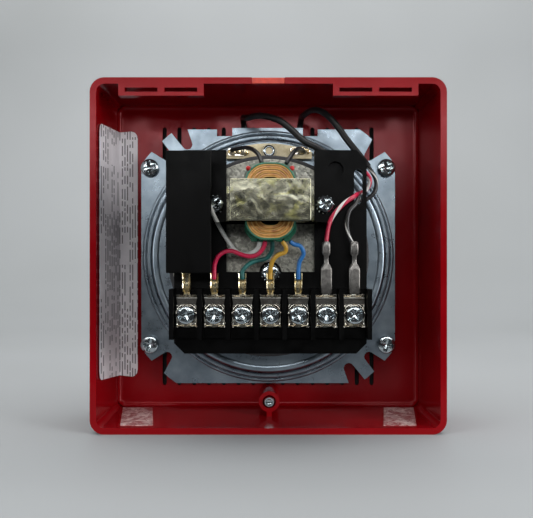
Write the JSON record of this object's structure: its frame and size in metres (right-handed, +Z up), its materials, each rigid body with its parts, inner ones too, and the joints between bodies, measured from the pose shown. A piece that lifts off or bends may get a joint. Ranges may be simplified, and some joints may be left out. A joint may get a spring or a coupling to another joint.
{
  "type": "fire alarm speaker strobe",
  "caption": "Square wall-mounted fire alarm speaker strobe with open back, line transformer, screw terminals and clear front lens.",
  "frame": {"origin": "centre of the flat lower outer face that it stands on", "axes": "+Z up, +Y out of the open back towards the wall, so the grille and lens face -Y and +X is to the left as seen from the back"},
  "size_m": [0.1284, 0.09, 0.1285],
  "materials": {
    "housing_red": "glossy moulded ABS",
    "label_paper": "matt paper with a clear film",
    "zinc_steel": "bright zinc plate",
    "clear_cover": "clear polycarbonate",
    "reflector": "vacuum metallised",
    "tube_glass": "clear glass",
    "circuit_board": "solder-masked laminate",
    "capacitor_sleeve": "shrink sleeve",
    "ferrite": "sintered, dull",
    "cone_paper": "pressed pulp",
    "surround_rubber": "matt",
    "coil_former": "varnished winding",
    "spider_cloth": "resin-dipped cloth",
    "phenolic": "paper phenolic board",
    "galvanised_steel": "spangled galvanised",
    "black_plastic": "moulded, semi-gloss",
    "tinned_brass": "nickel plate",
    "chromate_steel": "yellow chromate over zinc",
    "lamination_steel": "stacked silicon steel",
    "winding_copper": "varnished wire and tape",
    "film_capacitor": "dipped",
    "insulation_white": "extruded insulation",
    "insulation_red": "extruded insulation",
    "insulation_green": "extruded insulation",
    "insulation_yellow": "extruded insulation",
    "insulation_blue": "extruded insulation",
    "insulation_black": "extruded insulation"
  },
  "bodies": {
    "unit": {"housing": "housing_red", "rating_label": "label_paper", "strobe_lens": "clear_cover", "strobe_reflector": "reflector", "flash_tube": "tube_glass", "strobe_board": "circuit_board", "flash_capacitor": "capacitor_sleeve", "speaker_frame": "zinc_steel", "cone_surround": "surround_rubber", "spider": "spider_cloth", "front_pole_plate": "zinc_steel", "magnet": "ferrite", "back_plate": "galvanised_steel", "terminal_board": "phenolic", "rear_bracket": "black_plastic", "transformer_strap": "chromate_steel", "transformer_core": "lamination_steel", "transformer_winding": "winding_copper", "capacitor_cover": "black_plastic", "blocking_capacitor": "film_capacitor", "lead_white": "insulation_white", "lead_red": "insulation_red", "lead_green": "insulation_green", "lead_yellow": "insulation_yellow", "lead_blue": "insulation_blue", "speaker_lead_left": "insulation_black", "speaker_lead_right": "insulation_black", "strobe_lead_positive": "insulation_black", "strobe_lead_negative": "insulation_black", "speaker_screw_1": "zinc_steel", "speaker_screw_2": "zinc_steel", "speaker_screw_3": "zinc_steel", "speaker_screw_4": "zinc_steel", "bracket_screw_left": "zinc_steel", "bracket_screw_right": "zinc_steel", "bracket_screw_lower": "zinc_steel", "terminal_plate_1": "tinned_brass", "terminal_plate_2": "tinned_brass", "terminal_plate_3": "tinned_brass", "terminal_plate_4": "tinned_brass", "terminal_plate_5": "tinned_brass", "terminal_plate_6": "tinned_brass", "terminal_plate_7": "tinned_brass"},
    "cone": {"cone": "cone_paper", "voice_coil": "coil_former"},
    "cover_screw": {"cover_screw": "zinc_steel"},
    "terminal_clamp_1": {"terminal_clamp_1": "tinned_brass"},
    "terminal_screw_1": {"terminal_screw_1": "tinned_brass"},
    "terminal_clamp_2": {"terminal_clamp_2": "tinned_brass"},
    "terminal_screw_2": {"terminal_screw_2": "tinned_brass"},
    "terminal_clamp_3": {"terminal_clamp_3": "tinned_brass"},
    "terminal_screw_3": {"terminal_screw_3": "tinned_brass"},
    "terminal_clamp_4": {"terminal_clamp_4": "tinned_brass"},
    "terminal_screw_4": {"terminal_screw_4": "tinned_brass"},
    "terminal_clamp_5": {"terminal_clamp_5": "tinned_brass"},
    "terminal_screw_5": {"terminal_screw_5": "tinned_brass"},
    "terminal_clamp_6": {"terminal_clamp_6": "tinned_brass"},
    "terminal_screw_6": {"terminal_screw_6": "tinned_brass"},
    "terminal_clamp_7": {"terminal_clamp_7": "tinned_brass"},
    "terminal_screw_7": {"terminal_screw_7": "tinned_brass"}
  },
  "joints": [
    {"name": "cone_excursion", "type": "slide", "parent": "unit", "child": "cone", "axis": [0, 1, 0], "range_m": [-0.0015, 0.0015], "stiffness_N_per_m": 2000},
    {"name": "cover_screw_turn", "type": "hinge", "parent": "unit", "child": "cover_screw", "pos_m": [-0.0004, -0.00125, 0.0084], "axis": [0, 1, 0], "continuous": true},
    {"name": "clamp_lift_1", "type": "slide", "parent": "unit", "child": "terminal_clamp_1", "axis": [0, 1, 0], "range_m": [0, 0.003]},
    {"name": "screw_turn_1", "type": "hinge", "parent": "terminal_clamp_1", "child": "terminal_screw_1", "pos_m": [0.02789, 0.03275, 0.04419], "axis": [0, 1, 0], "range_deg": [0, 1360]},
    {"name": "clamp_lift_2", "type": "slide", "parent": "unit", "child": "terminal_clamp_2", "axis": [0, 1, 0], "range_m": [0, 0.003]},
    {"name": "screw_turn_2", "type": "hinge", "parent": "terminal_clamp_2", "child": "terminal_screw_2", "pos_m": [0.01837, 0.03275, 0.04419], "axis": [0, 1, 0], "range_deg": [0, 1360]},
    {"name": "clamp_lift_3", "type": "slide", "parent": "unit", "child": "terminal_clamp_3", "axis": [0, 1, 0], "range_m": [0, 0.003]},
    {"name": "screw_turn_3", "type": "hinge", "parent": "terminal_clamp_3", "child": "terminal_screw_3", "pos_m": [0.00885, 0.03275, 0.04419], "axis": [0, 1, 0], "range_deg": [0, 1360]},
    {"name": "clamp_lift_4", "type": "slide", "parent": "unit", "child": "terminal_clamp_4", "axis": [0, 1, 0], "range_m": [0, 0.003]},
    {"name": "screw_turn_4", "type": "hinge", "parent": "terminal_clamp_4", "child": "terminal_screw_4", "pos_m": [-0.00068, 0.03275, 0.04419], "axis": [0, 1, 0], "range_deg": [0, 1360]},
    {"name": "clamp_lift_5", "type": "slide", "parent": "unit", "child": "terminal_clamp_5", "axis": [0, 1, 0], "range_m": [0, 0.003]},
    {"name": "screw_turn_5", "type": "hinge", "parent": "terminal_clamp_5", "child": "terminal_screw_5", "pos_m": [-0.01021, 0.03275, 0.04419], "axis": [0, 1, 0], "range_deg": [0, 1360]},
    {"name": "clamp_lift_6", "type": "slide", "parent": "unit", "child": "terminal_clamp_6", "axis": [0, 1, 0], "range_m": [0, 0.003]},
    {"name": "screw_turn_6", "type": "hinge", "parent": "terminal_clamp_6", "child": "terminal_screw_6", "pos_m": [-0.01973, 0.03275, 0.04419], "axis": [0, 1, 0], "range_deg": [0, 1360]},
    {"name": "clamp_lift_7", "type": "slide", "parent": "unit", "child": "terminal_clamp_7", "axis": [0, 1, 0], "range_m": [0, 0.003]},
    {"name": "screw_turn_7", "type": "hinge", "parent": "terminal_clamp_7", "child": "terminal_screw_7", "pos_m": [-0.02925, 0.03275, 0.04419], "axis": [0, 1, 0], "range_deg": [0, 1360]}
  ],
  "couplings": [
    {"joint": "screw_turn_1", "follows": "clamp_lift_1", "rad_per_m": 7910},
    {"joint": "screw_turn_2", "follows": "clamp_lift_2", "rad_per_m": 7910},
    {"joint": "screw_turn_3", "follows": "clamp_lift_3", "rad_per_m": 7910},
    {"joint": "screw_turn_4", "follows": "clamp_lift_4", "rad_per_m": 7910},
    {"joint": "screw_turn_5", "follows": "clamp_lift_5", "rad_per_m": 7910},
    {"joint": "screw_turn_6", "follows": "clamp_lift_6", "rad_per_m": 7910},
    {"joint": "screw_turn_7", "follows": "clamp_lift_7", "rad_per_m": 7910}
  ]
}
